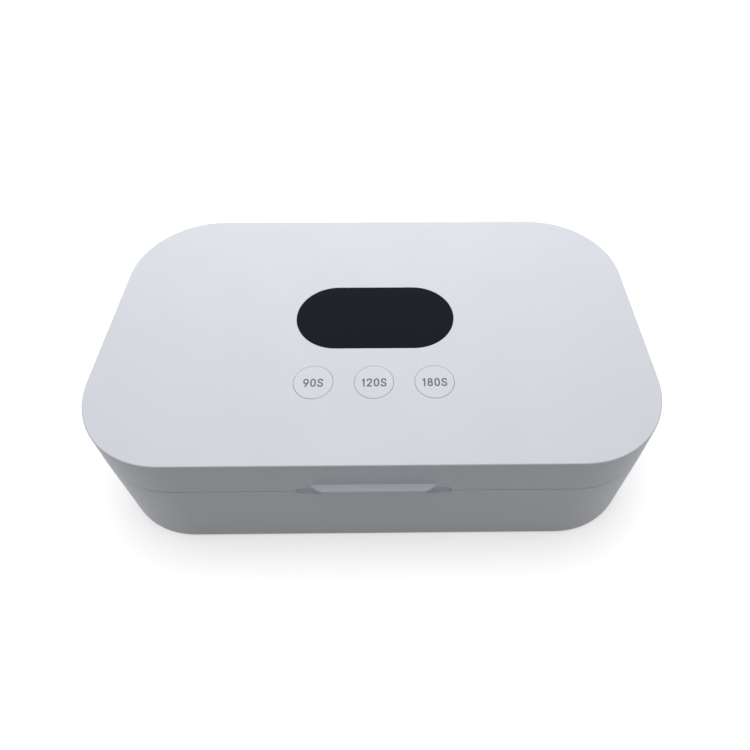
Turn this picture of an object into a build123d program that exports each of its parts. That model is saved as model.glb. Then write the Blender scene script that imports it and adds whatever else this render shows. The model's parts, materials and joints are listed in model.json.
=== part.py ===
from build123d import *
import math
import os

# A box that sterilises nail tools with ultraviolet light. The hinged lid carries the display,
# the buttons, the circuit board and the lamps, and closes over a base with a reflective basin
# and a lift-out wire rack. Millimetres, +Z up, front face towards -Y. The origin lies on the
# plane that the feet rest on, under the middle of the casing.

# Casing, a rounded rectangle seen from above
length = 220.0
depth = 130.0
height = 60.0
corner_radius = 36.0
wall = 2.2
top_plate = 2.4
floor_plate = 2.0
top_edge_radius = 0.45
bottom_edge_radius = 0.6
seam_gap = 0.3
base_draft = 1.0

# Lift tab on the lid's front and the shallow finger recess across the seam
tab_root_width = 47.2
tab_tip_width = 40.4
tab_undercut = 1.8
tab_reach = 2.5
tab_above_rim = 2.6
tab_root_thickness = 2.4
tab_tip_thickness = 1.9
tab_corner_radius = 2.4
tab_edge_radius = 0.5
recess_width = 57.6
recess_height = 4.5
recess_depth = 0.9

# Display window, a stadium flush with the lid's top, and the module under it
window_width = 66.0
window_depth = 34.0
window_thickness = 1.2
window_centre_y = 3.3
window_ledge = 3.0
window_fit = 0.15
display_width = 37.6
display_depth = 19.0
display_thickness = 8.0
display_gap = 0.4
display_chamfer = 0.6

# Round buttons in a row in front of the window, and the switches under them
button_names = ("90", "120", "180")
button_radius = 7.55
button_pitch = 23.3
button_centre_y = -30.0
button_gap = 0.15
button_proud = 0.1
button_travel = 0.6
button_edge_radius = 0.2
flange_width = 1.3
flange_thickness = 1.0
flange_clearance = 0.1
cap_thickness = 1.6
cap_wall = 1.2
stem_radius = 2.4
switch_side = 6.0
switch_thickness = 3.5
switch_chamfer = 0.5
plunger_radius = 1.7
plunger_fit = 0.08
plunger_height = 5.0
plunger_length = 3.9

# Circuit board in the lid
board_width = 88.0
board_thickness = 1.6
board_behind_window = 12.7
board_before_buttons = 22.0
board_corner_radius = 2.0
board_screw_inset = 4.6
controller_width = 7.5
controller_depth = 10.3
controller_height = 2.4
inductor_side = 6.0
inductor_height = 3.0
capacitor_radius = 3.2
capacitor_height = 5.4
component_gap = 5.0
buzzer_radius = 6.0
buzzer_height = 4.5
buzzer_hole_radius = 1.0
buzzer_hole_depth = 3.0
sensor_width = 4.1
sensor_depth = 3.0
sensor_thickness = 1.5

# Lamps and the reflector that closes the lid from below
lamp_count = 5
lamp_end_margin = 12.0
lamp_side = 3.5
lamp_base_thickness = 1.0
lamp_lens_radius = 1.4
lamp_lens_height = 0.6
lamp_gap = 0.2
strip_width = 10.0
strip_thickness = 1.4
strip_spacing = 52.0
strip_side_inset = 26.0
strip_screw_margin = 6.0
strip_gap = 1.2
reflector_thickness = 1.0
reflector_recess = 2.1
reflector_fit = 0.4
aperture_radius = 3.5

# Power inlet in the lid's rear wall, on its own small board
socket_width = 8.94
socket_height = 3.26
socket_length = 7.4
socket_shell = 0.35
socket_set_back = 1.0
socket_above_rim = 9.9
socket_fit = 0.3
socket_back = 1.0
tongue_width = 6.6
tongue_thickness = 0.7
tongue_set_back = 0.8
inlet_board_width = 24.0
inlet_board_depth = 15.0
inlet_board_gap = 0.8
inlet_screw_inset = 3.4

# Connectors and fixed leads
connector_width = 7.5
connector_depth = 4.5
connector_height = 3.6
rear_connector_x = 26.0
lamp_connector_ys = (-20.0, -10.0)
lead_radius = 0.9
usb_lead_bend = 5.0
usb_lead_straight = 7.5
lamp_lead_outs = (8.0, 12.0)
lamp_lead_bends = (2.6, 2.2)

# Hinge, two stations with a knuckle between two ears, and the angle the lid opens to
hinge_side_inset = 50.0
barrel_radius = 2.2
pin_radius = 0.8
pin_fit = 0.05
knuckle_width = 12.0
ear_width = 5.0
hinge_side_gap = 0.3
barrel_clearance = 0.3
web_margin = 0.2
web_height = 6.5
open_angle = 105.0
groove_slack = 2.0

# Reflective basin in the base
basin_inset = 12.0
basin_sheet = 1.0
basin_above_floor = 3.4
basin_rim_drop = 0.4
basin_rim_thickness = 1.2
basin_rim_fit = 0.3
basin_bottom_radius = 3.0

# Wire rack in the basin
rack_wire_radius = 1.5
rack_cross_radius = 1.0
rack_cross_count = 16
rack_weld_sink = 0.4
rack_side_gap = 3.5
rack_stand = 7.5
rack_leg_radius = 1.2
rack_handle_rise = 12.0
rack_handle_width = 44.0
rack_handle_radius = 1.3
rack_bend_radius = 5.0
rack_leg_inset = 8.0

# Feet, fasteners and the magnet that tells the sensor that the lid is closed
foot_radius = 8.0
foot_proud = 1.0
foot_pocket = 1.6
foot_inset = 26.0
foot_fit = 0.1
foot_edge_radius = 0.4
post_radius = 3.2
small_post_radius = 2.6
screw_radius = 1.25
screw_head_radius = 2.3
screw_head_height = 1.3
small_screw_radius = 1.0
small_screw_head_radius = 1.9
reflector_side_screw = (16.0, 18.0)
reflector_end_screw = (40.0, 8.0)
screw_length = 6.0
screw_fit = 0.05
screw_clearance = 0.15
pilot_spare = 1.0
cross_slot_width = 0.5
cross_slot_depth = 0.7
cross_slot_reach = 1.3
magnet_radius = 3.0
magnet_thickness = 3.0
magnet_fit = 0.1
magnet_x = 34.0
shelf_wall = 1.2

# Heights that follow. The lid is as deep as what is stacked in it, from the window down.
lid_height = (
    window_thickness + display_gap + display_thickness + board_thickness + strip_gap
    + strip_thickness + lamp_base_thickness + lamp_lens_height + lamp_gap
    + reflector_thickness + reflector_recess
)
lid_rim = height - lid_height
base_rim = lid_rim - seam_gap
plate_under = height - top_plate
display_top = height - window_thickness - display_gap
board_top = display_top - display_thickness
board_under = board_top - board_thickness
strip_top = board_under - strip_gap
strip_under = strip_top - strip_thickness
lamp_under = strip_under - lamp_base_thickness - lamp_lens_height
reflector_top = lamp_under - lamp_gap
reflector_under = reflector_top - reflector_thickness
floor_top = foot_proud + floor_plate
basin_rim_top = base_rim - basin_rim_drop
basin_rim_under = basin_rim_top - basin_rim_thickness
basin_under = floor_top + basin_above_floor
basin_floor = basin_under + basin_sheet

# Places that follow
hinge_y = depth / 2 - barrel_radius
hinge_z = lid_rim - seam_gap / 2
web_depth = 2 * barrel_radius + web_margin
hinge_xs = [side * (length / 2 - hinge_side_inset) for side in (-1, 1)]
station_half = knuckle_width / 2 + hinge_side_gap + ear_width
button_points = [((index - 1) * button_pitch, button_centre_y) for index in range(len(button_names))]
board_back = window_centre_y + board_behind_window
board_front = button_centre_y - board_before_buttons
board_depth = board_back - board_front
board_centre_y = (board_back + board_front) / 2
board_hole_x = board_width / 2 - board_screw_inset
board_hole_points = [
    (side * board_hole_x, y)
    for side in (-1, 1)
    for y in (board_front + board_screw_inset, board_back - board_screw_inset)
]
strip_length = length - 2 * strip_side_inset
strip_ys = (-strip_spacing / 2, strip_spacing / 2)
lamp_pitch = (strip_length - 2 * lamp_end_margin) / (lamp_count - 1)
lamp_points = [
    ((index - (lamp_count - 1) / 2) * lamp_pitch, y) for y in strip_ys for index in range(lamp_count)
]
strip_hole_x = strip_length / 2 - strip_screw_margin
strip_hole_points = [(side * strip_hole_x, y) for side in (-1, 1) for y in strip_ys]
post_inset = (basin_inset + wall) / 2
side_screw_x = length / 2 - reflector_side_screw[0]
end_screw_y = depth / 2 - reflector_end_screw[1]
reflector_screw_points = [
    (sx * x, sy * y)
    for x, y in ((side_screw_x, reflector_side_screw[1]), (reflector_end_screw[0], end_screw_y))
    for sx in (-1, 1)
    for sy in (-1, 1)
]
corner_post_reach = (corner_radius - post_inset) * math.sqrt(0.5)
corner_post_x = length / 2 - corner_radius + corner_post_reach
corner_post_y = depth / 2 - corner_radius + corner_post_reach
basin_screw_points = [(sx * corner_post_x, sy * corner_post_y) for sx in (-1, 1) for sy in (-1, 1)]
basin_screw_points += [(0, side * (depth / 2 - post_inset)) for side in (-1, 1)]
foot_points = [
    (sx * (length / 2 - foot_inset), sy * (depth / 2 - foot_inset)) for sx in (-1, 1) for sy in (-1, 1)
]
socket_axis = lid_rim + socket_above_rim
inlet_board_top = socket_axis - socket_height / 2
inlet_board_back = depth / 2 - wall - inlet_board_gap
inlet_board_front = inlet_board_back - inlet_board_depth
inlet_hole_points = [
    (side * (inlet_board_width / 2 - inlet_screw_inset), inlet_board_front + inlet_screw_inset)
    for side in (-1, 1)
]
magnet_y = -(depth / 2 - post_inset)

front_face = Plane(origin=(0, -depth / 2, 0), x_dir=(1, 0, 0), z_dir=(0, -1, 0))
rear_face = Plane(origin=(0, depth / 2, 0), x_dir=(-1, 0, 0), z_dir=(0, 1, 0))

os.makedirs("parts", exist_ok=True)


def casing_plan(level, inset=0.0):
    """The casing's outline, drawn in by inset, on the level given."""
    with BuildSketch(Plane.XY.offset(level)) as plan:
        RectangleRounded(length - 2 * inset, depth - 2 * inset, corner_radius - inset)
    return plan.sketch


def discs(level, points, radius):
    """A disc at each point, on the level given."""
    with BuildSketch(Plane.XY.offset(level)) as plan:
        with Locations(*points):
            Circle(radius)
    return plan.sketch


def rectangles(level, points, width, across):
    """A rectangle at each point, on the level given."""
    with BuildSketch(Plane.XY.offset(level)) as plan:
        with Locations(*points):
            Rectangle(width, across)
    return plan.sketch


def window_plan(level, inset=0.0):
    """The window's stadium, drawn in by inset, on the level given."""
    with BuildSketch(Plane.XY.offset(level)) as plan:
        with Locations((0, window_centre_y)):
            SlotOverall(window_width - 2 * inset, window_depth - 2 * inset)
    return plan.sketch


def hinge_disc(start, width, radius):
    """A disc about the hinge axis, from start along X, as thick as width."""
    with BuildSketch(Plane.YZ.offset(start)) as plan:
        with Locations((hinge_y, hinge_z)):
            Circle(radius)
    return extrude(plan.sketch, amount=width, mode=Mode.PRIVATE)


def hinge_web(start, width, low, high):
    """The block that ties a knuckle or an ear to the rear wall, from the middle of that wall."""
    with BuildSketch(Plane.YZ.offset(start)) as plan:
        with Locations((depth / 2 - (web_depth + wall / 2) / 2, (low + high) / 2)):
            Rectangle(web_depth - wall / 2, high - low)
    return extrude(plan.sketch, amount=width, mode=Mode.PRIVATE)


def hinge_groove():
    """The V groove along the rear seam, whose faces meet when the lid is wide open."""
    reach = 4 * barrel_radius
    rise = reach * math.tan(math.radians((open_angle + groove_slack) / 2))
    with BuildSketch(Plane.YZ) as plan:
        with BuildLine():
            Polyline(
                (hinge_y, hinge_z),
                (hinge_y + reach, hinge_z + rise),
                (hinge_y + reach, hinge_z - rise),
                close=True,
            )
        make_face()
    return extrude(plan.sketch, amount=length / 2, both=True, mode=Mode.PRIVATE)


def hinge_notches(level, thickness):
    """Room around both hinge stations, cut from a panel that reaches the rear wall."""
    notch_depth = web_depth + barrel_clearance
    points = [(x, depth / 2 - notch_depth / 2) for x in hinge_xs]
    plan = rectangles(level, points, 2 * (station_half + 2 * hinge_side_gap), notch_depth)
    return extrude(plan, amount=thickness, mode=Mode.PRIVATE)


def finger_recess():
    """The slot across the seam that gives a fingertip a hold under the tab."""
    with BuildSketch(front_face.offset(-recess_depth)) as plan:
        with Locations((0, hinge_z)):
            SlotOverall(recess_width, recess_height)
    return extrude(plan.sketch, amount=2 * recess_depth, mode=Mode.PRIVATE)


def add_screws(points, face, shank, head, upward=False):
    """Pan-head screws with their heads on the level face, driven down, or up if upward."""
    into = 1 if upward else -1
    extrude(discs(face, points, shank), amount=into * screw_length)
    extrude(discs(face, points, head), amount=-into * screw_head_height)
    crown = face - into * screw_head_height
    reach = head * cross_slot_reach
    for width, across in ((reach, cross_slot_width), (cross_slot_width, reach)):
        slot = rectangles(crown, points, width, across)
        extrude(slot, amount=into * cross_slot_depth, mode=Mode.SUBTRACT)


def round_bar(points, bends, radius):
    """A round lead or wire along straight runs joined by arcs."""
    with BuildPart() as bar:
        with BuildLine() as path:
            FilletPolyline(*points, radius=bends)
        start = Vector(*points[0])
        with BuildSketch(Plane(origin=start, z_dir=Vector(*points[1]) - start)):
            Circle(radius)
        sweep(path=path.line)
    return bar.part


# Lid shell: open underneath, with posts that hang from its top plate
with BuildPart() as lid_shell:
    extrude(casing_plan(lid_rim), amount=lid_height)
    fillet(lid_shell.faces().sort_by(Axis.Z)[-1].edges(), top_edge_radius)
    extrude(casing_plan(lid_rim, wall), amount=lid_height - top_plate, mode=Mode.SUBTRACT)
    for level, points, radius in (
        (board_top, board_hole_points, post_radius),
        (inlet_board_top, inlet_hole_points, small_post_radius),
        (strip_top, strip_hole_points, small_post_radius),
        (reflector_top, reflector_screw_points, post_radius),
    ):
        extrude(discs(level, points, radius), amount=plate_under - level)
    for x in hinge_xs:
        add(hinge_web(x - knuckle_width / 2, knuckle_width, lid_rim, lid_rim + web_height))
    add(hinge_groove(), mode=Mode.SUBTRACT)
    for x in hinge_xs:
        for start in (x - station_half - hinge_side_gap, x + knuckle_width / 2):
            relief = hinge_disc(start, ear_width + 2 * hinge_side_gap, barrel_radius + barrel_clearance)
            add(relief, mode=Mode.SUBTRACT)
        add(hinge_disc(x - knuckle_width / 2, knuckle_width, barrel_radius))
        add(hinge_disc(x - knuckle_width, 2 * knuckle_width, pin_radius + pin_fit), mode=Mode.SUBTRACT)
    # Window pocket, the opening behind its ledge, and the button holes
    extrude(window_plan(height - window_thickness), amount=window_thickness, mode=Mode.SUBTRACT)
    extrude(window_plan(plate_under, window_ledge), amount=top_plate, mode=Mode.SUBTRACT)
    button_holes = discs(plate_under, button_points, button_radius + button_gap)
    extrude(button_holes, amount=top_plate, mode=Mode.SUBTRACT)
    # Pilot holes up into the posts
    for level, points, radius in (
        (board_top, board_hole_points, screw_radius),
        (inlet_board_top, inlet_hole_points, small_screw_radius),
        (strip_top, strip_hole_points, small_screw_radius),
        (reflector_top, reflector_screw_points, screw_radius),
    ):
        extrude(discs(level, points, radius + screw_fit), amount=screw_length, mode=Mode.SUBTRACT)
    # Opening for the power socket through the rear wall
    with BuildSketch(rear_face.offset(-2 * wall)):
        with Locations((0, socket_axis)):
            SlotOverall(socket_width + 2 * socket_fit, socket_height + 2 * socket_fit)
    extrude(amount=3 * wall, mode=Mode.SUBTRACT)
    # Lift tab, lofted from the wall to its narrower, thinner tip
    for out, width, thickness in (
        (0.0, tab_root_width, tab_root_thickness),
        (tab_reach, tab_tip_width, tab_tip_thickness),
    ):
        low = lid_rim + tab_above_rim
        with BuildSketch(front_face.offset(out)):
            with BuildLine():
                Polyline(
                    (-width / 2 + tab_undercut, low),
                    (width / 2 - tab_undercut, low),
                    (width / 2, low + thickness),
                    (-width / 2, low + thickness),
                    close=True,
                )
            make_face()
    loft()
    tip_corners = lid_shell.faces().sort_by(Axis.Y)[0].edges().sort_by(SortBy.LENGTH)[:2]
    fillet(tip_corners, tab_corner_radius)
    tip_rims = lid_shell.faces().sort_by(Axis.Y)[0].edges().sort_by(SortBy.LENGTH)[-2:]
    fillet(tip_rims, tab_edge_radius)
    add(finger_recess(), mode=Mode.SUBTRACT)

lid_shell.part.label = "lid_shell"
export_step(lid_shell.part, "parts/lid_shell.step")

# Display window, resting on the ledge of its pocket
with BuildPart() as display_window:
    extrude(window_plan(height - window_thickness, window_fit), amount=window_thickness)

display_window.part.label = "display_window"
export_step(display_window.part, "parts/display_window.step")

# Display module, standing on the board behind the window
with BuildPart() as display_module:
    extrude(
        rectangles(board_top, [(0, window_centre_y)], display_width, display_depth),
        amount=display_thickness,
    )
    chamfer(display_module.edges().filter_by(Axis.Z), display_chamfer)

display_module.part.label = "display_module"
export_step(display_module.part, "parts/display_module.step")

# Circuit board
with BuildPart() as main_board:
    with BuildSketch(Plane.XY.offset(board_under)):
        with Locations((0, board_centre_y)):
            RectangleRounded(board_width, board_depth, board_corner_radius)
        with Locations(*board_hole_points):
            Circle(screw_radius + screw_clearance, mode=Mode.SUBTRACT)
    extrude(amount=board_thickness)

main_board.part.label = "main_board"
export_step(main_board.part, "parts/main_board.step")

# What stands on the board: controller, inductor, capacitor and three lead connectors
display_side = display_width / 2
controller_point = [(-display_side - component_gap - controller_width / 2, window_centre_y)]
inductor_x = display_side + component_gap + inductor_side / 2
capacitor_x = inductor_x + inductor_side / 2 + component_gap / 2 + capacitor_radius
coil_y = window_centre_y - inductor_side
rear_connector = [(rear_connector_x, board_back - connector_depth / 2)]
side_connectors = [(-board_width / 2 + connector_depth / 2, y) for y in lamp_connector_ys]
with BuildPart() as board_components:
    for points, width, across, tall in (
        (controller_point, controller_width, controller_depth, controller_height),
        ([(inductor_x, coil_y)], inductor_side, inductor_side, inductor_height),
        (rear_connector, connector_width, connector_depth, connector_height),
        (side_connectors, connector_depth, connector_width, connector_height),
    ):
        extrude(rectangles(board_top, points, width, across), amount=tall)
    extrude(discs(board_top, [(capacitor_x, coil_y)], capacitor_radius), amount=capacitor_height)

board_components.part.label = "board_components"
export_step(board_components.part, "parts/board_components.step")

# Buzzer with its sound hole, in front of the right button
buzzer_x = board_hole_x - board_screw_inset - buzzer_radius
buzzer_point = [(buzzer_x, board_front + buzzer_radius + sensor_depth)]
with BuildPart() as buzzer:
    extrude(discs(board_top, buzzer_point, buzzer_radius), amount=buzzer_height)
    crown = board_top + buzzer_height
    extrude(discs(crown, buzzer_point, buzzer_hole_radius), amount=-buzzer_hole_depth, mode=Mode.SUBTRACT)

buzzer.part.label = "buzzer"
export_step(buzzer.part, "parts/buzzer.step")

# Tactile switch bodies, each with the bore that its plunger slides in
plunger_top = board_top + plunger_height
plunger_bottom = plunger_top - plunger_length
with BuildPart() as switch_bodies:
    extrude(rectangles(board_top, button_points, switch_side, switch_side), amount=switch_thickness)
    chamfer(switch_bodies.edges().filter_by(Axis.Z), switch_chamfer)
    bore_bottom = plunger_bottom - button_travel - plunger_fit
    extrude(
        discs(bore_bottom, button_points, plunger_radius + plunger_fit),
        amount=switch_thickness,
        mode=Mode.SUBTRACT,
    )

switch_bodies.part.label = "switch_bodies"
export_step(switch_bodies.part, "parts/switch_bodies.step")

# Lid sensor on the board's underside, above the magnet in the base
with BuildPart() as hall_sensor:
    sensor_point = [(magnet_x, board_front + sensor_depth)]
    extrude(rectangles(board_under, sensor_point, sensor_width, sensor_depth), amount=-sensor_thickness)

hall_sensor.part.label = "hall_sensor"
export_step(hall_sensor.part, "parts/hall_sensor.step")

# Button caps: a disc in the lid's hole, a flange that stops it from below, and a stem
cap_top = height + button_proud
flange_top = plate_under - flange_clearance
flange_under = flange_top - flange_thickness
for name, point in zip(button_names, button_points):
    centre = [point]
    with BuildPart() as button:
        extrude(discs(flange_under, centre, button_radius), amount=cap_top - flange_under)
        fillet(button.faces().sort_by(Axis.Z)[-1].edges(), button_edge_radius)
        extrude(discs(flange_under, centre, button_radius + flange_width), amount=flange_thickness)
        hollow = discs(flange_under, centre, button_radius - cap_wall)
        extrude(hollow, amount=cap_top - cap_thickness - flange_under, mode=Mode.SUBTRACT)
        extrude(discs(plunger_top, centre, stem_radius), amount=cap_top - cap_thickness - plunger_top)
    with BuildPart() as plunger:
        extrude(discs(plunger_bottom, centre, plunger_radius), amount=plunger_length)
    button.part.label = "button_" + name
    export_step(button.part, "parts/button_" + name + ".step")
    plunger.part.label = "plunger_" + name
    export_step(plunger.part, "parts/plunger_" + name + ".step")

# Small board that carries the power socket, with the connector for its lead
inlet_centre = [(0, (inlet_board_front + inlet_board_back) / 2)]
inlet_connector = [(0, inlet_board_front + connector_depth / 2)]
inlet_board_under = inlet_board_top - board_thickness
with BuildPart() as usb_board:
    extrude(
        rectangles(inlet_board_under, inlet_centre, inlet_board_width, inlet_board_depth),
        amount=board_thickness,
    )
    extrude(
        discs(inlet_board_under, inlet_hole_points, small_screw_radius + screw_clearance),
        amount=board_thickness,
        mode=Mode.SUBTRACT,
    )
    extrude(
        rectangles(inlet_board_top, inlet_connector, connector_width, connector_depth),
        amount=connector_height,
    )

usb_board.part.label = "usb_board"
export_step(usb_board.part, "parts/usb_board.step")

# Power socket: a drawn shell round a tongue, its mouth just inside the rear wall's face
with BuildPart() as usb_socket:
    with BuildSketch(rear_face.offset(-socket_set_back)):
        with Locations((0, socket_axis)):
            SlotOverall(socket_width, socket_height)
    extrude(amount=-socket_length)
    with BuildSketch(rear_face.offset(-socket_set_back)):
        with Locations((0, socket_axis)):
            SlotOverall(socket_width - 2 * socket_shell, socket_height - 2 * socket_shell)
    extrude(amount=-(socket_length - socket_back), mode=Mode.SUBTRACT)
    with BuildSketch(rear_face.offset(-socket_set_back - tongue_set_back)):
        with Locations((0, socket_axis)):
            Rectangle(tongue_width, tongue_thickness)
    extrude(amount=-(socket_length - tongue_set_back))

usb_socket.part.label = "usb_socket"
export_step(usb_socket.part, "parts/usb_socket.step")

# Lamp strips with their screw holes
with BuildPart() as lamp_strips:
    strip_centres = [(0, y) for y in strip_ys]
    extrude(rectangles(strip_under, strip_centres, strip_length, strip_width), amount=strip_thickness)
    extrude(
        discs(strip_under, strip_hole_points, small_screw_radius + screw_clearance),
        amount=strip_thickness,
        mode=Mode.SUBTRACT,
    )

lamp_strips.part.label = "lamp_strips"
export_step(lamp_strips.part, "parts/lamp_strips.step")

# Lamps: a square base under the strip with a round lens facing down
with BuildPart() as uv_lamps:
    extrude(rectangles(strip_under, lamp_points, lamp_side, lamp_side), amount=-lamp_base_thickness)
    extrude(discs(strip_under - lamp_base_thickness, lamp_points, lamp_lens_radius), amount=-lamp_lens_height)

uv_lamps.part.label = "uv_lamps"
export_step(uv_lamps.part, "parts/uv_lamps.step")

# Reflector panel with an aperture under each lamp
with BuildPart() as reflector:
    extrude(casing_plan(reflector_under, wall + reflector_fit), amount=reflector_thickness)
    for points, radius in (
        (lamp_points, aperture_radius),
        (reflector_screw_points, screw_radius + screw_clearance),
    ):
        extrude(discs(reflector_under, points, radius), amount=reflector_thickness, mode=Mode.SUBTRACT)
    add(hinge_notches(reflector_under, reflector_thickness), mode=Mode.SUBTRACT)

reflector.part.label = "reflector"
export_step(reflector.part, "parts/reflector.step")

# Screws, one group for each thing that they hold
with BuildPart() as board_screws:
    add_screws(board_hole_points, board_under, screw_radius, screw_head_radius, upward=True)

board_screws.part.label = "board_screws"
export_step(board_screws.part, "parts/board_screws.step")

with BuildPart() as usb_board_screws:
    add_screws(inlet_hole_points, inlet_board_under, small_screw_radius, small_screw_head_radius, upward=True)

usb_board_screws.part.label = "usb_board_screws"
export_step(usb_board_screws.part, "parts/usb_board_screws.step")

with BuildPart() as strip_screws:
    add_screws(strip_hole_points, strip_under, small_screw_radius, small_screw_head_radius, upward=True)

strip_screws.part.label = "strip_screws"
export_step(strip_screws.part, "parts/strip_screws.step")

with BuildPart() as reflector_screws:
    add_screws(reflector_screw_points, reflector_under, screw_radius, screw_head_radius, upward=True)

reflector_screws.part.label = "reflector_screws"
export_step(reflector_screws.part, "parts/reflector_screws.step")

with BuildPart() as basin_screws:
    add_screws(basin_screw_points, basin_rim_top, screw_radius, screw_head_radius)

basin_screws.part.label = "basin_screws"
export_step(basin_screws.part, "parts/basin_screws.step")


# Lead from the inlet board to the main board
inlet_lead_z = inlet_board_top + connector_height / 2
board_lead_z = board_top + connector_height / 2
usb_route = [
    (0, inlet_board_front, inlet_lead_z),
    (0, inlet_board_front - usb_lead_straight, inlet_lead_z),
    (rear_connector_x, board_back + usb_lead_straight, board_lead_z),
    (rear_connector_x, board_back, board_lead_z),
]
with BuildPart() as usb_lead:
    add(round_bar(usb_route, usb_lead_bend, lead_radius))

usb_lead.part.label = "usb_lead"
export_step(usb_lead.part, "parts/usb_lead.step")

# Leads from the main board's side to the two lamp strips
side_x = -board_width / 2
with BuildPart() as lamp_leads:
    for connector_y, strip_y, out in zip(lamp_connector_ys, strip_ys, lamp_lead_outs):
        route = [
            (side_x, connector_y, board_lead_z),
            (side_x - out, connector_y, board_lead_z),
            (side_x - out, strip_y, board_lead_z),
            (side_x - out, strip_y, strip_top),
        ]
        add(round_bar(route, lamp_lead_bends, lead_radius))

lamp_leads.part.label = "lamp_leads"
export_step(lamp_leads.part, "parts/lamp_leads.step")

# Base shell: walls that draw in towards the floor, foot pockets, posts for the basin, hinge ears
magnet_shelf = basin_rim_under - magnet_thickness
with BuildPart() as base_shell:
    extrude(casing_plan(base_rim), amount=foot_proud - base_rim, taper=base_draft)
    fillet(base_shell.faces().sort_by(Axis.Z)[0].edges(), bottom_edge_radius)
    extrude(casing_plan(base_rim, wall), amount=floor_top - base_rim, taper=base_draft, mode=Mode.SUBTRACT)
    extrude(discs(floor_top, foot_points, foot_radius + wall), amount=foot_pocket)
    extrude(discs(floor_top, basin_screw_points, post_radius), amount=basin_rim_under - floor_top)
    # Shelf on the front wall that holds the magnet
    shelf_width = 2 * (magnet_radius + shelf_wall)
    shelf_back = magnet_y + magnet_radius + magnet_fit + shelf_wall
    shelf_front = -(depth / 2 - wall / 2)
    shelf_centre = [(magnet_x, (shelf_back + shelf_front) / 2)]
    shelf = rectangles(magnet_shelf - shelf_wall, shelf_centre, shelf_width, shelf_back - shelf_front)
    extrude(shelf, amount=magnet_thickness + shelf_wall)
    for x in hinge_xs:
        for start in (x - station_half, x + knuckle_width / 2 + hinge_side_gap):
            add(hinge_web(start, ear_width, base_rim - web_height, base_rim))
    add(hinge_groove(), mode=Mode.SUBTRACT)
    for x in hinge_xs:
        start = x - knuckle_width / 2 - hinge_side_gap
        width = knuckle_width + 2 * hinge_side_gap
        add(hinge_disc(start, width, barrel_radius + barrel_clearance), mode=Mode.SUBTRACT)
        for start in (x - station_half, x + knuckle_width / 2 + hinge_side_gap):
            add(hinge_disc(start, ear_width, barrel_radius))
        add(hinge_disc(x - station_half, 2 * station_half, pin_radius), mode=Mode.SUBTRACT)
    extrude(discs(foot_proud, foot_points, foot_radius + foot_fit), amount=foot_pocket, mode=Mode.SUBTRACT)
    pilot_depth = screw_length - basin_rim_thickness + pilot_spare
    extrude(
        discs(basin_rim_under, basin_screw_points, screw_radius + screw_fit),
        amount=-pilot_depth,
        mode=Mode.SUBTRACT,
    )
    extrude(
        discs(magnet_shelf, [(magnet_x, magnet_y)], magnet_radius + magnet_fit),
        amount=magnet_thickness,
        mode=Mode.SUBTRACT,
    )
    add(finger_recess(), mode=Mode.SUBTRACT)

base_shell.part.label = "base_shell"
export_step(base_shell.part, "parts/base_shell.step")

# Basin: a pressed tray whose rim rests on the posts
with BuildPart() as basin:
    extrude(casing_plan(basin_under, basin_inset), amount=basin_rim_under - basin_under)
    fillet(basin.faces().sort_by(Axis.Z)[0].edges(), basin_bottom_radius + basin_sheet)
    extrude(casing_plan(basin_rim_under, wall + basin_rim_fit), amount=basin_rim_thickness)
    with BuildPart(mode=Mode.PRIVATE) as hollow:
        extrude(casing_plan(basin_floor, basin_inset + basin_sheet), amount=base_rim - basin_floor)
        fillet(hollow.faces().sort_by(Axis.Z)[0].edges(), basin_bottom_radius)
    add(hollow.part, mode=Mode.SUBTRACT)
    add(hinge_notches(basin_rim_under, basin_rim_thickness), mode=Mode.SUBTRACT)
    extrude(
        discs(basin_rim_under, basin_screw_points, screw_radius + screw_clearance),
        amount=basin_rim_thickness,
        mode=Mode.SUBTRACT,
    )

basin.part.label = "basin"
export_step(basin.part, "parts/basin.step")

# Magnet in its pocket under the basin's rim
with BuildPart() as sensor_magnet:
    extrude(discs(magnet_shelf, [(magnet_x, magnet_y)], magnet_radius), amount=magnet_thickness)

sensor_magnet.part.label = "sensor_magnet"
export_step(sensor_magnet.part, "parts/sensor_magnet.step")

# Rubber feet
with BuildPart() as rubber_feet:
    extrude(discs(0, foot_points, foot_radius), amount=foot_proud + foot_pocket)
    fillet(rubber_feet.edges().group_by(Axis.Z)[0], foot_edge_radius)

rubber_feet.part.label = "rubber_feet"
export_step(rubber_feet.part, "parts/rubber_feet.step")

# Hinge pins, pressed into the ears and free in the knuckles
with BuildPart() as hinge_pins:
    for x in hinge_xs:
        add(hinge_disc(x - station_half, 2 * station_half, pin_radius))

hinge_pins.part.label = "hinge_pins"
export_step(hinge_pins.part, "parts/hinge_pins.step")

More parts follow.
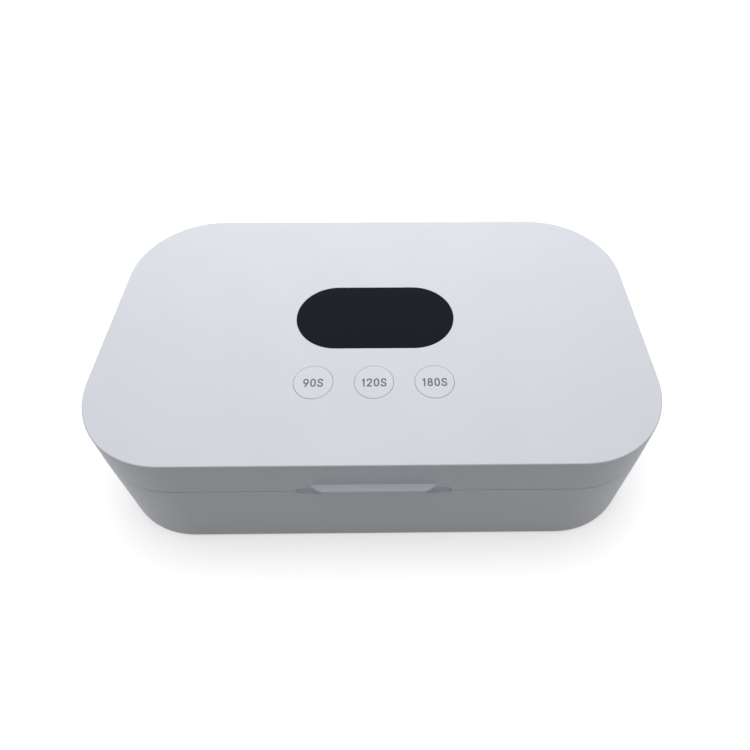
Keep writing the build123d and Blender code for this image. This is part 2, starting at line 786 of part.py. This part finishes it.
# Rack: a rod loop on four legs, with cross wires welded on top
rack_inset = basin_inset + basin_sheet + rack_side_gap + rack_wire_radius
rack_level = basin_floor + rack_stand
rack_half_length = length / 2 - rack_inset
rack_half_depth = depth / 2 - rack_inset
cross_level = rack_level + rack_wire_radius + rack_cross_radius - rack_weld_sink
straight_half = rack_half_length - (corner_radius - rack_inset)
cross_pitch = 2 * straight_half / (rack_cross_count - 1)
cross_points = [(index * cross_pitch - straight_half, cross_level) for index in range(rack_cross_count)]
leg_x = straight_half - rack_leg_inset
leg_points = [(sx * leg_x, sy * rack_half_depth) for sx in (-1, 1) for sy in (-1, 1)]
handle_top = rack_level + rack_handle_rise
with BuildPart() as tool_rack:
    with BuildLine() as rack_loop:
        for side in (-1, 1):
            FilletPolyline(
                (0, side * rack_half_depth, rack_level),
                (side * rack_half_length, side * rack_half_depth, rack_level),
                (side * rack_half_length, -side * rack_half_depth, rack_level),
                (0, -side * rack_half_depth, rack_level),
                radius=corner_radius - rack_inset,
            )
    with BuildSketch(Plane(origin=(0, rack_half_depth, rack_level), z_dir=(1, 0, 0))):
        Circle(rack_wire_radius)
    sweep(path=rack_loop.wire())
    with BuildSketch(Plane.XZ.offset(-rack_half_depth)):
        with Locations(*cross_points):
            Circle(rack_cross_radius)
    extrude(amount=2 * rack_half_depth)
    extrude(discs(basin_floor, leg_points, rack_leg_radius), amount=rack_stand)

tool_rack.part.label = "tool_rack"
export_step(tool_rack.part, "parts/tool_rack.step")

# Rack handles, a bent wire welded on the rod loop at each end
with BuildPart() as rack_handles:
    for side in (-1, 1):
        x = side * rack_half_length
        handle = [
            (x, -rack_handle_width / 2, rack_level),
            (x, -rack_handle_width / 2, handle_top),
            (x, rack_handle_width / 2, handle_top),
            (x, rack_handle_width / 2, rack_level),
        ]
        add(round_bar(handle, rack_bend_radius, rack_handle_radius))
    add(tool_rack.part, mode=Mode.SUBTRACT)

rack_handles.part.label = "rack_handles"
export_step(rack_handles.part, "parts/rack_handles.step")
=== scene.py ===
import json
import math

import bpy
import numpy as np
from mathutils import Matrix, Vector


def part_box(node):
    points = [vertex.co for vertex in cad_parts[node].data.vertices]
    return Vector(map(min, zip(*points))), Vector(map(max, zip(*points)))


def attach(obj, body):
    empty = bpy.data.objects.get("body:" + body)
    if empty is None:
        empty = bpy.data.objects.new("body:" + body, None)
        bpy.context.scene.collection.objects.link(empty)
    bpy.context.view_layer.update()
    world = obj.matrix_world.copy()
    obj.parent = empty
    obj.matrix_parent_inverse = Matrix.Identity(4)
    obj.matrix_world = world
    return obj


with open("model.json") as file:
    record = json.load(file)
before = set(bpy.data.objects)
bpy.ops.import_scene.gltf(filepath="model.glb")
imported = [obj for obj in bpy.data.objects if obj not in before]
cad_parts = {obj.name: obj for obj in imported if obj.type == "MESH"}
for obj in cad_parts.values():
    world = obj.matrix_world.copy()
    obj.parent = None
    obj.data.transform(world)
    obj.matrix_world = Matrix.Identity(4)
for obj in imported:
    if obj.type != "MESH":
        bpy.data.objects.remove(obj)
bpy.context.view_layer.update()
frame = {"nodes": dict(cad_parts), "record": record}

# A white box that sterilises nail tools with ultraviolet light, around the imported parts. Metres,
# +Z up, front face towards -Y, origin on the floor under the middle of the casing.
nodes = frame["nodes"]
mm = 0.001

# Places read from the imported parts
cap_names = ("90", "120", "180")
cap_boxes = {name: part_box("button_" + name) for name in cap_names}
lamp_low, lamp_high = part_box("uv_lamps")
socket_low, socket_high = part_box("usb_socket")

# The photograph's view. Pixels are of its 750 by 750 frame, angles in degrees.
photo_side = 750
focal_length_pixels = 615.28
principal_point = (398.25, 288.89)
camera_elevation = 46.19
camera_yaw = -1.01
camera_roll = 0.48
camera_distance = 312.02 * mm
camera_target = Vector((10.39, 48.15, 30.0)) * mm
sensor_width = 36.0

# Studio: even light from all around, and four soft panels, each with its place, width, depth and
# energy. The overhead and rear ones are near and the side ones stand to the rear, so the lid darkens
# towards its front and its ends and the front wall gets only the even light. The paper glows where it
# is seen, and a painted contact shadow, taken from ambient occlusion, dims that glow within
# contact_reach of the box, where contact_depth is the share of the glow that it takes away.
panel_aim = (0.0, 0.0, 0.03)
panels = {
    "overhead_panel": ((0.0, 0.0, 0.45), 0.3, 0.3, 0.54),
    "rear_panel": ((0.0, 0.45, 0.30), 0.8, 0.3, 1.75),
    "left_panel": ((-0.9, 0.45, 0.5), 0.8, 0.6, 2.2),
    "right_panel": ((0.9, 0.45, 0.5), 0.8, 0.6, 1.55),
}
ambient_strength = 0.28
paper_glow = 0.95
contact_reach = 28 * mm
contact_depth = 0.55
floor_half_side = 4.0

# Printed timer markings. Each stroke of a glyph is a smooth line near its points, which are in halves
# of the glyph's width and height from its middle, and True says that it closes on itself.
marking_height = 3.7 * mm
marking_forward = 0.35 * mm
stroke_width = 0.54 * mm
glyph_gap = 0.6 * mm
ink_thickness = 0.03 * mm
stroke_rise = 0.002 * mm
glyph_widths = {
    "0": 2.15 * mm, "1": 1.4 * mm, "2": 2.05 * mm, "8": 2.05 * mm, "9": 2.15 * mm, "S": 2.15 * mm,
}
glyph_strokes = {
    "0": [(True, [(-1, 1), (1, 1), (1, -1), (-1, -1)])],
    "1": [(False, [(0.5, 1.16), (0.5, -1.16)]), (False, [(-1.1, 0.5), (0.5, 1.0)])],
    "2": [(False, [(-1, 0.4), (-1, 1), (1, 1), (1, 0.2), (-1.1, -1)]), (False, [(-1.3, -1), (1.2, -1)])],
    "8": [
        (True, [(-0.85, 1), (0.85, 1), (0.85, 0.1), (-0.85, 0.1)]),
        (True, [(-1, 0.1), (1, 0.1), (1, -1), (-1, -1)]),
    ],
    "9": [(True, [(-1, 1), (1, 1), (1, -0.2), (-1, -0.2)]), (False, [(1, 0.4), (1, 0), (-0.4, -1.15)])],
    "S": [
        (False, [
            (0.95, 0.5), (0.9, 1), (-0.95, 1), (-0.95, 0.1), (1, -0.1), (1, -1), (-1, -1), (-1.05, -0.45),
        ]),
    ],
}

# The rack's rods, whose crossings are welded
rod_radius = 1.5 * mm
cross_wire_radius = 1.0 * mm
cross_wire_count = 16
rod_bend_radius = 18.0 * mm
weld_size = (1.9 * mm, 1.7 * mm, 0.9 * mm)
weld_sides = 10
weld_rings = 5

# The mix node names its sockets alike for every kind of value, so its colours go by number
mix_factor, mix_first, mix_second, mix_result = 0, 6, 7, 2


def linear(colour):
    """The linear colour of an sRGB hex value such as "#E3E5E9"."""
    channels = [int(colour[start:start + 2], 16) / 255 for start in (1, 3, 5)]
    return tuple(c / 12.92 if c <= 0.04045 else ((c + 0.055) / 1.055) ** 2.4 for c in channels) + (1.0,)


def add(tree, kind, sockets=None, links=None, **settings):
    """Adds a node. Settings are its properties, sockets its fixed values, links what feeds it."""
    made = tree.nodes.new(kind)
    for name, value in settings.items():
        setattr(made, name, value)
    for name, value in (sockets or {}).items():
        made.inputs[name].default_value = value
    for name, source in (links or {}).items():
        tree.links.new(source, made.inputs[name])
    return made


def begin(name):
    """An empty material, its node tree and the Object coordinates that its patterns follow."""
    material = bpy.data.materials.new(name)
    material.use_nodes = True
    material.node_tree.nodes.clear()
    coordinates = add(material.node_tree, "ShaderNodeTexCoord")
    return material, material.node_tree, coordinates.outputs["Object"]


def close(tree, sockets, links):
    """Ends a material in its surface shader."""
    shader = add(tree, "ShaderNodeBsdfPrincipled", sockets=sockets, links=links)
    add(tree, "ShaderNodeOutputMaterial", links={"Surface": shader.outputs["BSDF"]})


def noise(tree, position, size, detail=2.0):
    """Soft noise from 0 to 1 with features of about the given size."""
    made = add(tree, "ShaderNodeTexNoise", {"Scale": 1 / size, "Detail": detail}, {"Vector": position})
    return made.outputs["Fac"]


def mixed(tree, factor, first, second):
    """Two colours mixed by a factor, each an sRGB hex value or the output that gives it."""
    colours = {mix_first: first, mix_second: second}
    fixed = {place: linear(colour) for place, colour in colours.items() if isinstance(colour, str)}
    fed = {place: colour for place, colour in colours.items() if not isinstance(colour, str)}
    made = add(tree, "ShaderNodeMix", fixed, {mix_factor: factor, **fed}, data_type="RGBA")
    return made.outputs[mix_result]


def ranged(tree, value, low, high, start=0.0, end=1.0):
    """The value with its range from start to end carried over to low to high."""
    sockets = {"From Min": start, "From Max": end, "To Min": low, "To Max": high}
    return add(tree, "ShaderNodeMapRange", sockets, {"Value": value}).outputs["Result"]


def relief(tree, height, strength, depth):
    """The direction of a surface that carries a pattern of the given depth."""
    made = add(tree, "ShaderNodeBump", {"Strength": strength, "Distance": depth}, {"Height": height})
    return made.outputs["Normal"]


def computed(tree, operation, *values):
    """The result of an operation on values, each a number or the output that gives it."""
    sockets = {place: value for place, value in enumerate(values) if isinstance(value, float)}
    links = {place: value for place, value in enumerate(values) if not isinstance(value, float)}
    return add(tree, "ShaderNodeMath", sockets, links, operation=operation).outputs["Value"]


def moulded_abs(name, pale, deep):
    """White ABS from a mould with a fine spark-eroded texture. The eye gets a soft, even white with
    a very weak cloudiness and a dull sheen that breaks up on the grain. The real grain is about
    0.1 mm, and it is drawn at 0.45 mm so that it shows."""
    material, tree, position = begin(name)
    grain = noise(tree, position, size=0.45 * mm, detail=3.0)
    close(tree, {"IOR": 1.53}, {
        "Base Color": mixed(tree, noise(tree, position, size=28 * mm), pale, deep),
        "Roughness": ranged(tree, grain, 0.40, 0.52, start=0.3, end=0.7),
        "Normal": relief(tree, grain, strength=0.25, depth=0.02 * mm),
    })
    return material


def smoked_acrylic():
    """Cast acrylic with a smoked tint, polished. The eye gets near black with a clean, weak mirror
    image that fine polishing haze softens here and there."""
    material, tree, position = begin("smoked_acrylic")
    haze = noise(tree, position, size=9 * mm, detail=4.0)
    close(tree, {"IOR": 1.49, "Specular IOR Level": 0.13}, {
        "Base Color": mixed(tree, haze, "#0A0A18", "#0C0C1D"),
        "Roughness": ranged(tree, haze, 0.05, 0.09, start=0.35, end=0.65),
    })
    return material


def pad_print():
    """Grey pad-printing ink. The eye gets a flat mid grey, a little uneven where the pad lifted."""
    material, tree, position = begin("pad_print_ink")
    patch = noise(tree, position, size=0.6 * mm, detail=3.0)
    close(tree, {"Roughness": 0.6}, {"Base Color": mixed(tree, patch, "#62656C", "#70737A")})
    return material


def satin_polycarbonate():
    """Black polycarbonate of the display's housing, moulded. The eye gets black with a satin sheen."""
    material, tree, position = begin("satin_polycarbonate")
    grain = noise(tree, position, size=0.3 * mm)
    close(tree, {"Base Color": linear("#17181A"), "IOR": 1.58}, {
        "Roughness": ranged(tree, grain, 0.25, 0.4),
    })
    return material


def solder_mask_board():
    """Glass-fibre board under green solder mask. The eye gets a glossy green with paler stripes where
    copper tracks, about 0.4 mm wide, run beneath."""
    material, tree, position = begin("solder_mask_board")
    tracks = add(
        tree, "ShaderNodeTexBrick",
        {"Color1": linear("#12452B"), "Color2": linear("#1B5A38"), "Mortar": linear("#0D3722"),
         "Scale": 1 / (4 * mm), "Mortar Size": 0.1, "Brick Width": 0.8, "Row Height": 0.2},
        {"Vector": position},
    )
    close(tree, {"Roughness": 0.3, "IOR": 1.55}, {"Base Color": tracks.outputs["Color"]})
    return material


def moulded_epoxy():
    """Black epoxy of moulded components. The eye gets a dull charcoal with a sandy grain."""
    material, tree, position = begin("moulded_epoxy")
    grain = noise(tree, position, size=0.25 * mm, detail=3.0)
    close(tree, {"Roughness": 0.6}, {"Base Color": mixed(tree, grain, "#1C1C1D", "#2B2B2D")})
    return material


def moulded_polyamide():
    """Dark polyamide of the switch plungers. The eye gets a little gloss from the mould."""
    material, tree, position = begin("moulded_polyamide")
    grain = noise(tree, position, size=0.5 * mm)
    close(tree, {"Base Color": linear("#2A2A2C")}, {"Roughness": ranged(tree, grain, 0.35, 0.5)})
    return material


def drawn_steel_socket():
    """Tin-plated steel drawn into a socket's shell, round a black tongue with gilt contacts. The eye
    gets a soft metal with lines along the draw, and fine stripes on the tongue."""
    material, tree, position = begin("drawn_steel_socket")
    tongue_half_width, tongue_half_thickness, contact_pitch = 3.32 * mm, 0.37 * mm, 0.5 * mm
    axis_height = (socket_low.z + socket_high.z) / 2
    stretched = add(tree, "ShaderNodeMapping", {"Scale": (1.0, 0.08, 1.0)}, {"Vector": position})
    lines = noise(tree, stretched.outputs["Vector"], size=0.2 * mm)
    parts = add(tree, "ShaderNodeSeparateXYZ", links={"Vector": position}).outputs
    in_width = computed(tree, "LESS_THAN", computed(tree, "ABSOLUTE", parts["X"]), tongue_half_width)
    in_thickness = computed(tree, "COMPARE", parts["Z"], axis_height, tongue_half_thickness)
    tongue = computed(tree, "MULTIPLY", in_width, in_thickness)
    wave = computed(tree, "PINGPONG", parts["X"], contact_pitch / 2)
    contact = computed(tree, "LESS_THAN", wave, contact_pitch / 4)
    close(tree, {}, {
        "Base Color": mixed(tree, tongue, "#BFC2C5", mixed(tree, contact, "#151516", "#C9A24A")),
        "Metallic": computed(tree, "SUBTRACT", 1.0, tongue),
        "Roughness": ranged(tree, lines, 0.22, 0.42),
    })
    return material


def lead_jacket():
    """PVC jacket of the fixed leads, extruded. The eye gets a satin black."""
    material, tree, position = begin("pvc_lead_jacket")
    grain = noise(tree, position, size=0.8 * mm)
    close(tree, {"Base Color": linear("#1D1D1F")}, {"Roughness": ranged(tree, grain, 0.4, 0.55)})
    return material


def white_mask_aluminium():
    """Aluminium lamp board under white solder mask. The eye gets a glossy white face with faint
    tracks, and bare metal where the board was sheared at its edges."""
    material, tree, position = begin("white_mask_aluminium")
    turned = add(tree, "ShaderNodeTexCoord")
    facing = add(tree, "ShaderNodeSeparateXYZ", links={"Vector": turned.outputs["Normal"]})
    level_face = 0.5
    edge = computed(tree, "LESS_THAN", computed(tree, "ABSOLUTE", facing.outputs["Z"]), level_face)
    tracks = add(
        tree, "ShaderNodeTexBrick",
        {"Color1": linear("#E9EAE6"), "Color2": linear("#F0F0EC"), "Mortar": linear("#D9DAD5"),
         "Scale": 1 / (12 * mm), "Mortar Size": 0.03, "Brick Width": 1.5, "Row Height": 0.3},
        {"Vector": position},
    )
    close(tree, {"Roughness": 0.35}, {
        "Base Color": mixed(tree, edge, tracks.outputs["Color"], "#B8BABB"), "Metallic": edge,
    })
    return material


def lamp_package():
    """A lamp's ceramic body with a gilt seal ring, a quartz lens and the small dark chip behind it.
    The rings are drawn about each lamp's own middle, which the even spacing of the row gives. The
    eye gets a pale square with a bright ring round a bluish lens."""
    material, tree, position = begin("ceramic_and_quartz_lamp")
    lamp_count, lens_radius, seal_radius, chip_half = 5, 1.32 * mm, 1.62 * mm, 0.45 * mm
    body_half = 1.75 * mm
    pitch = (lamp_high.x - lamp_low.x - 2 * body_half) / (lamp_count - 1)
    row_offset = lamp_high.y - body_half
    parts = add(tree, "ShaderNodeSeparateXYZ", links={"Vector": position}).outputs
    along = computed(tree, "WRAP", parts["X"], pitch / 2, -pitch / 2)
    across = computed(tree, "SUBTRACT", computed(tree, "ABSOLUTE", parts["Y"]), row_offset)
    local = add(tree, "ShaderNodeCombineXYZ", links={"X": along, "Y": across}).outputs["Vector"]
    radius = add(tree, "ShaderNodeVectorMath", links={0: local}, operation="LENGTH").outputs["Value"]
    in_lens = computed(tree, "LESS_THAN", radius, lens_radius)
    in_seal = computed(tree, "LESS_THAN", radius, seal_radius)
    aside, ahead = computed(tree, "ABSOLUTE", along), computed(tree, "ABSOLUTE", across)
    widest = computed(tree, "MAXIMUM", aside, ahead)
    in_chip = computed(tree, "LESS_THAN", widest, chip_half)
    ceramic = mixed(tree, noise(tree, position, size=0.4 * mm), "#D9D8D3", "#E6E5E0")
    with_seal = mixed(tree, in_seal, ceramic, "#C7A455")
    with_lens = mixed(tree, in_lens, with_seal, "#9AA3B8")
    close(tree, {"IOR": 1.46}, {
        "Base Color": mixed(tree, in_chip, with_lens, "#2A2340"),
        "Metallic": computed(tree, "SUBTRACT", in_seal, in_lens),
        "Roughness": ranged(tree, in_lens, 0.4, 0.06),
    })
    return material


def metallised_plastic():
    """Aluminium evaporated in vacuum on a moulded panel. The eye gets a bright mirror that the
    plastic under it makes slightly wavy, with a faint bloom in places."""
    material, tree, position = begin("metallised_plastic")
    swell = noise(tree, position, size=16 * mm, detail=1.0)
    bloom = noise(tree, position, size=5 * mm, detail=5.0)
    close(tree, {"Base Color": linear("#E1E3E6"), "Metallic": 1.0}, {
        "Roughness": ranged(tree, bloom, 0.10, 0.20, start=0.35, end=0.7),
        "Normal": relief(tree, swell, strength=0.5, depth=0.12 * mm),
    })
    return material


def zinc_plate():
    """Steel screws, cold headed and zinc plated with a clear passivate. The eye gets a bluish grey
    metal, brighter and duller in small patches."""
    material, tree, position = begin("zinc_plated_screw")
    patch = noise(tree, position, size=0.5 * mm, detail=3.0)
    close(tree, {"Metallic": 1.0}, {
        "Base Color": mixed(tree, patch, "#A9AEB4", "#C6CACE"),
        "Roughness": ranged(tree, patch, 0.25, 0.45),
    })
    return material


def nickel_plate():
    """Sintered magnet, barrel plated with nickel. The eye gets a warm, slightly pitted metal."""
    material, tree, position = begin("nickel_plated_magnet")
    pits = noise(tree, position, size=0.4 * mm, detail=3.0)
    close(tree, {"Base Color": linear("#C9C5BC"), "Metallic": 1.0, "Roughness": 0.25}, {
        "Normal": relief(tree, pits, strength=0.3, depth=0.03 * mm),
    })
    return material


def foot_rubber():
    """Silicone rubber feet, compression moulded. The eye gets a dull grey that takes dust."""
    material, tree, position = begin("silicone_rubber_foot")
    dust = noise(tree, position, size=2.5 * mm, detail=5.0)
    grain = noise(tree, position, size=0.3 * mm)
    close(tree, {"Roughness": 0.75, "IOR": 1.43}, {
        "Base Color": mixed(tree, dust, "#4A4B4D", "#5C5D5F"),
        "Normal": relief(tree, grain, strength=0.3, depth=0.02 * mm),
    })
    return material


def ground_steel():
    """Hinge pins of centreless-ground steel. The eye gets a bright metal with fine lines round the
    pin."""
    material, tree, position = begin("ground_steel_pin")
    stretched = add(tree, "ShaderNodeMapping", {"Scale": (1.0, 0.05, 0.05)}, {"Vector": position})
    lines = noise(tree, stretched.outputs["Vector"], size=0.1 * mm)
    close(tree, {"Base Color": linear("#B4B6B8"), "Metallic": 1.0}, {
        "Roughness": ranged(tree, lines, 0.18, 0.35),
    })
    return material


def chromed_wire():
    """Drawn steel wire, welded and then chrome plated. The eye gets a bright, cool mirror with faint
    draw marks under the plating."""
    material, tree, position = begin("chrome_plated_wire")
    marks = noise(tree, position, size=0.7 * mm)
    close(tree, {"Base Color": linear("#C4C9CE"), "Metallic": 1.0}, {
        "Roughness": ranged(tree, marks, 0.06, 0.16),
        "Normal": relief(tree, marks, strength=0.2, depth=0.02 * mm),
    })
    return material


def shown_rays(tree):
    """1 for the rays from the camera, a mirror or glass, which only show what they meet, and 0 for
    the rays that carry light between surfaces."""
    rays = add(tree, "ShaderNodeLightPath").outputs
    seen = computed(tree, "MAXIMUM", rays["Is Camera Ray"], rays["Is Glossy Ray"])
    return computed(tree, "MAXIMUM", seen, rays["Is Transmission Ray"])


def studio_paper():
    """Grey paper for the light that it throws back, because white paper would wash out the darker
    sides of a white box. The camera and mirror images see it white, with a painted shadow that deepens
    close to the box: ambient occlusion dims the glow where the box hides more of the room from the paper."""
    material, tree = begin("studio_paper")[:2]
    open_room = add(tree, "ShaderNodeAmbientOcclusion", {"Distance": contact_reach}).outputs["AO"]
    # Painted contact shadow: the glow's strength falls with ambient occlusion close to the box
    shade = ranged(tree, open_room, paper_glow * (1 - contact_depth), paper_glow)
    matt = add(tree, "ShaderNodeBsdfDiffuse", {"Color": linear("#8C8D90")})
    glow = add(
        tree, "ShaderNodeEmission", {"Color": linear("#FFFFFF")},
        {"Strength": computed(tree, "MULTIPLY", shown_rays(tree), shade)},
    )
    both = add(
        tree, "ShaderNodeAddShader", links={0: matt.outputs["BSDF"], 1: glow.outputs["Emission"]}
    )
    add(tree, "ShaderNodeOutputMaterial", links={"Surface": both.outputs["Shader"]})
    return material


def surroundings():
    """White where the camera, a mirror or glass sees it, and weak light for the surfaces."""
    world = bpy.data.worlds.new("surroundings")
    bpy.context.scene.world = world
    world.use_nodes = True
    tree = world.node_tree
    tree.nodes.clear()
    glow = add(
        tree, "ShaderNodeBackground", {"Color": linear("#FFFFFF")},
        {"Strength": ranged(tree, shown_rays(tree), ambient_strength, 1.0)},
    )
    add(tree, "ShaderNodeOutputWorld", links={"Surface": glow.outputs["Background"]})


def soft_panel(name, place, width, depth, energy):
    """A rectangular soft light that faces the box from its place. The camera and mirror images see
    the white room instead of it."""
    lamp = bpy.data.lights.new(name, "AREA")
    lamp.shape = "RECTANGLE"
    lamp.size = width
    lamp.size_y = depth
    lamp.energy = energy
    panel = bpy.data.objects.new(name, lamp)
    direction = Vector(panel_aim) - Vector(place)
    panel.matrix_world = Matrix.Translation(place) @ direction.to_track_quat("-Z", "Y").to_matrix().to_4x4()
    panel.visible_camera = False
    panel.visible_glossy = False
    bpy.context.scene.collection.objects.link(panel)


def photograph_view():
    """The camera of the photograph: its angles and distance, and the shift of its frame."""
    elevation, yaw, roll = (math.radians(a) for a in (camera_elevation, camera_yaw, camera_roll))
    back = Vector((
        math.sin(yaw) * math.cos(elevation), -math.cos(yaw) * math.cos(elevation), math.sin(elevation),
    ))
    level_right = Vector((math.cos(yaw), math.sin(yaw), 0.0))
    level_up = back.cross(level_right)
    right = math.cos(roll) * level_right + math.sin(roll) * level_up
    up = math.cos(roll) * level_up - math.sin(roll) * level_right
    lens = bpy.data.cameras.new("photograph_view")
    lens.sensor_width = sensor_width
    lens.lens = focal_length_pixels / photo_side * sensor_width
    lens.shift_x = (photo_side / 2 - principal_point[0]) / photo_side
    lens.shift_y = (principal_point[1] - photo_side / 2) / photo_side
    lens.clip_start = 1 * mm
    camera = bpy.data.objects.new("photograph_view", lens)
    turn = Matrix((right, up, back)).transposed().to_4x4()
    camera.matrix_world = Matrix.Translation(camera_target + camera_distance * back) @ turn
    bpy.context.scene.collection.objects.link(camera)
    bpy.context.scene.camera = camera


def floor():
    """A square of studio paper under the feet."""
    half = floor_half_side
    mesh = bpy.data.meshes.new("studio_floor")
    corners = [(-half, -half, 0), (half, -half, 0), (half, half, 0), (-half, half, 0)]
    mesh.from_pydata(corners, [], [(0, 1, 2, 3)])
    paper = bpy.data.objects.new("studio_floor", mesh)
    mesh.materials.append(studio_paper())
    bpy.context.scene.collection.objects.link(paper)


def show(name, points, faces, finish, body):
    """Puts a piece of the object into the scene, on its body."""
    mesh = bpy.data.meshes.new(name)
    mesh.from_pydata(points, [], faces)
    mesh.materials.append(finish)
    piece = bpy.data.objects.new(name, mesh)
    bpy.context.scene.collection.objects.link(piece)
    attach(piece, body)
    return piece


def smooth_line(corners, closed):
    """Points along the quadratic B-spline of the corners. The span about corner b, with neighbours a
    and c, is (1 - t)^2 / 2 a + (1/2 + t - t^2) b + t^2 / 2 c, and an open line holds its end corners."""
    steps = 10
    if closed:
        a, b, c = np.roll(corners, 1, axis=0), corners, np.roll(corners, -1, axis=0)
    else:
        held = np.vstack([corners[:1], corners, corners[-1:]])
        a, b, c = held[:-2], held[1:-1], held[2:]
    t = np.arange(steps)[None, :, None] / steps
    line = (1 - t) ** 2 / 2 * a[:, None] + (0.5 + t - t * t) * b[:, None] + t * t / 2 * c[:, None]
    line = line.reshape(-1, 2)
    return line if closed else np.vstack([line, corners[-1:]])


def printed_stroke(line, closed, level):
    """A film of ink along a level line: the rectangle of the stroke's width and the ink's thickness,
    carried square to the line's direction, which is the difference of the points on either side."""
    if closed:
        ahead = np.roll(line, -1, axis=0) - np.roll(line, 1, axis=0)
    else:
        ahead = np.gradient(line, axis=0)
    ahead /= np.linalg.norm(ahead, axis=1, keepdims=True)
    left = np.column_stack([-ahead[:, 1], ahead[:, 0]])
    aside = np.array([-0.5, 0.5, 0.5, -0.5]) * stroke_width
    up = np.array([0.0, 0.0, 1.0, 1.0]) * ink_thickness
    flat = line[:, None] + aside[None, :, None] * left[:, None]
    heights = np.broadcast_to((level + up)[None, :, None], flat.shape[:2] + (1,))
    points = np.concatenate([flat, heights], axis=2)
    rings = len(line) if closed else len(line) - 1
    ring, corner = np.meshgrid(np.arange(rings), np.arange(4), indexing="ij")
    following, next_corner = (ring + 1) % len(line), (corner + 1) % 4
    faces = np.stack(
        [ring * 4 + corner, ring * 4 + next_corner, following * 4 + next_corner, following * 4 + corner],
        axis=2,
    ).reshape(-1, 4)
    if not closed:
        last = 4 * rings
        faces = np.vstack([faces, [3, 2, 1, 0], [last, last + 1, last + 2, last + 3]])
    return points.reshape(-1, 3), faces


def marking(name, ink):
    """A timer marking printed in the middle of its cap, its glyphs set side by side."""
    text = name + "S"
    cap_low, cap_high = cap_boxes[name]
    middle = np.array([(cap_low.x + cap_high.x) / 2, (cap_low.y + cap_high.y) / 2 - marking_forward])
    left = -(sum(glyph_widths[glyph] for glyph in text) + glyph_gap * (len(text) - 1)) / 2
    points, faces, level = [], [], cap_high.z
    for glyph in text:
        width = glyph_widths[glyph]
        halves = np.array([width - stroke_width, marking_height - stroke_width]) / 2
        for closed, corners in glyph_strokes[glyph]:
            line = smooth_line(np.array(corners, dtype=float) * halves, closed)
            some_points, some_faces = printed_stroke(line + middle + (left + width / 2, 0.0), closed, level)
            faces.append(some_faces + sum(len(p) for p in points))
            points.append(some_points)
            level += stroke_rise
        left += width + glyph_gap
    show("marking_" + name, np.vstack(points), np.vstack(faces), ink, "press_" + name)


def rack_welds(plating):
    """The welds where the rack's cross wires lie on its rod loop, a flattened bead at each crossing:
    x = cos v cos u, y = cos v sin u, z = sin v, each times its half size."""
    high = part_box("tool_rack")[1]
    rod_y = high.y - rod_radius
    end_x = high.x - rod_radius - rod_bend_radius
    level = high.z - 2 * cross_wire_radius
    u = np.arange(weld_sides) * (2 * math.pi / weld_sides)
    v = np.linspace(-math.pi / 2, math.pi / 2, weld_rings + 2)[1:-1]
    bead = np.stack([
        np.outer(np.cos(v), np.cos(u)),
        np.outer(np.cos(v), np.sin(u)),
        np.outer(np.sin(v), np.ones(len(u))),
    ], axis=2).reshape(-1, 3)
    bead = np.vstack([bead, (0, 0, -1), (0, 0, 1)]) * weld_size
    ring, place = np.meshgrid(np.arange(len(v) - 1), np.arange(len(u)), indexing="ij")
    beside = (place + 1) % len(u)
    above = ring + 1
    sides = np.stack(
        [ring * len(u) + place, ring * len(u) + beside, above * len(u) + beside, above * len(u) + place],
        axis=2,
    ).reshape(-1, 4)
    around = np.arange(len(u))
    following = (around + 1) % len(u)
    last = (len(v) - 1) * len(u)
    foot, crown = len(v) * len(u), len(v) * len(u) + 1
    caps = np.vstack([
        np.column_stack([following, around, np.full(len(u), foot)]),
        np.column_stack([last + around, last + following, np.full(len(u), crown)]),
    ])
    centres = np.array([
        (x, side * rod_y, level) for x in np.linspace(-end_x, end_x, cross_wire_count) for side in (-1, 1)
    ])
    points = (centres[:, None] + bead[None]).reshape(-1, 3)
    faces = []
    for index in range(len(centres)):
        faces += (sides + index * len(bead)).tolist() + (caps + index * len(bead)).tolist()
    piece = show("rack_welds", points, faces, plating, "rack")
    piece.data.shade_smooth()


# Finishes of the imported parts, one for each material slot of the record
finishes = {
    "white_abs": moulded_abs("moulded_abs", "#E2E6EC", "#DCE0E7"),
    "button_abs": moulded_abs("moulded_abs_cap", "#E3E7EC", "#DDE1E7"),
    "smoked_acrylic": smoked_acrylic(),
    "display_plastic": satin_polycarbonate(),
    "circuit_board": solder_mask_board(),
    "component_plastic": moulded_epoxy(),
    "switch_plastic": moulded_polyamide(),
    "socket_steel": drawn_steel_socket(),
    "lead_jacket": lead_jacket(),
    "lamp_board": white_mask_aluminium(),
    "lamp_quartz": lamp_package(),
    "mirror_coat": metallised_plastic(),
    "zinc_screw": zinc_plate(),
    "magnet_nickel": nickel_plate(),
    "foot_rubber": foot_rubber(),
    "pin_steel": ground_steel(),
    "rack_chrome": chromed_wire(),
}
for row in frame["record"]["subparts"]:
    nodes[row["node"]].material_slots[0].material = finishes[row["material_slot"]]

ink = pad_print()
for name in cap_names:
    marking(name, ink)
rack_welds(finishes["rack_chrome"])

floor()
surroundings()
for name, (place, width, depth, energy) in panels.items():
    soft_panel(name, place, width, depth, energy)
photograph_view()
bpy.context.scene.view_settings.view_transform = "Standard"
